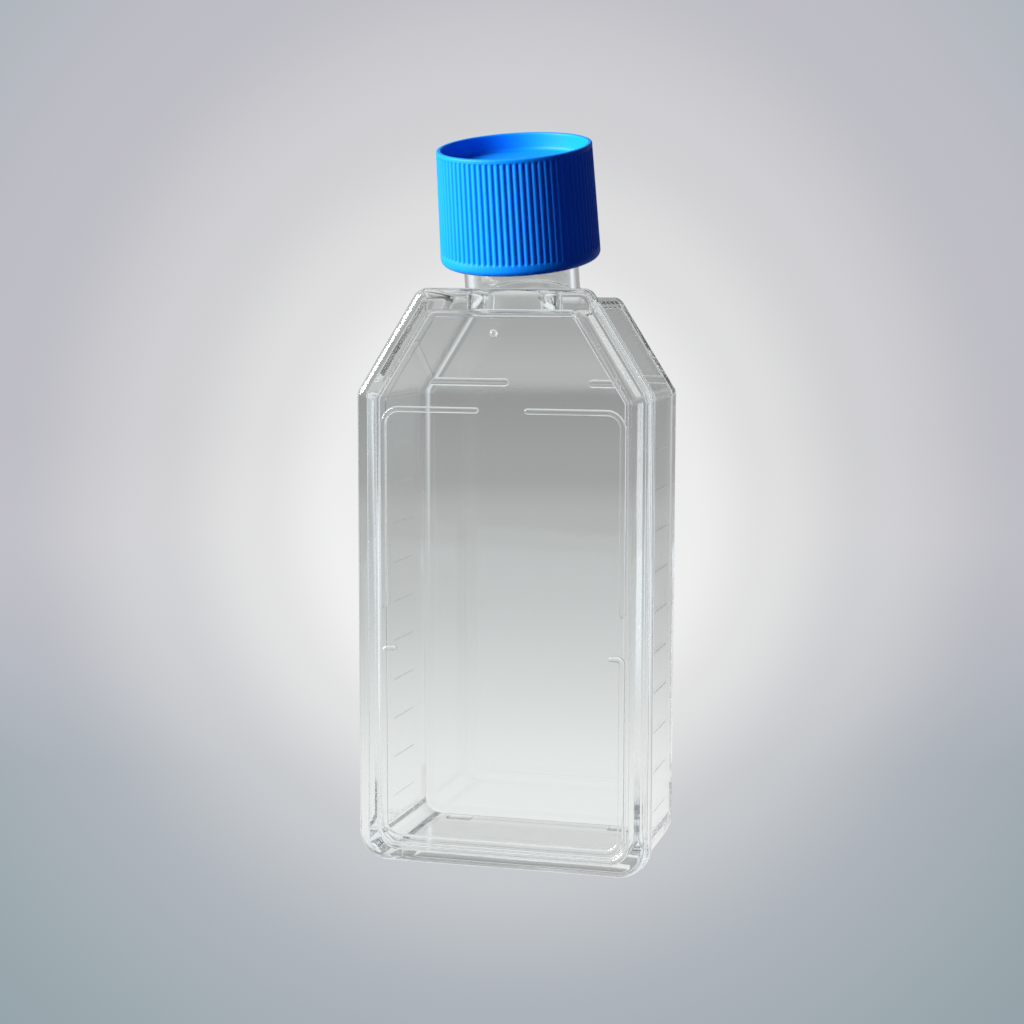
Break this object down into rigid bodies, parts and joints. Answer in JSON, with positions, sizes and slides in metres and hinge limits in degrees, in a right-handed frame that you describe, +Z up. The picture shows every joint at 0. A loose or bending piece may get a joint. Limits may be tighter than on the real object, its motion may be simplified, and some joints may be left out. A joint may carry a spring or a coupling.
{
  "type": "cell culture flask",
  "caption": "Clear rectangular culture flask with slanted shoulders, a canted neck, a welded cover plate with a stacking rim, graduated sides and a ribbed blue plug-seal screw cap.",
  "frame": {"origin": "on the standing plane, under the middle of the whole flask's box", "axes": "+Z up along the flask from its standing end to the cap, +X across its width, +Y from the cover plate to the growth wall"},
  "size_m": [0.044, 0.0296, 0.1075],
  "materials": {
    "clear_tray": "clear, glossy",
    "clear_cover": "clear, glossy",
    "cap_blue": "satin"
  },
  "bodies": {
    "flask": {"flask_body": "clear_tray", "cover_plate": "clear_cover"},
    "cap": {"cap": "cap_blue"}
  },
  "joints": [
    {"name": "cap_lift", "type": "slide", "parent": "flask", "child": "cap", "axis": [0, -0.2334, 0.9724], "range_m": [0, 0.036]}
  ]
}
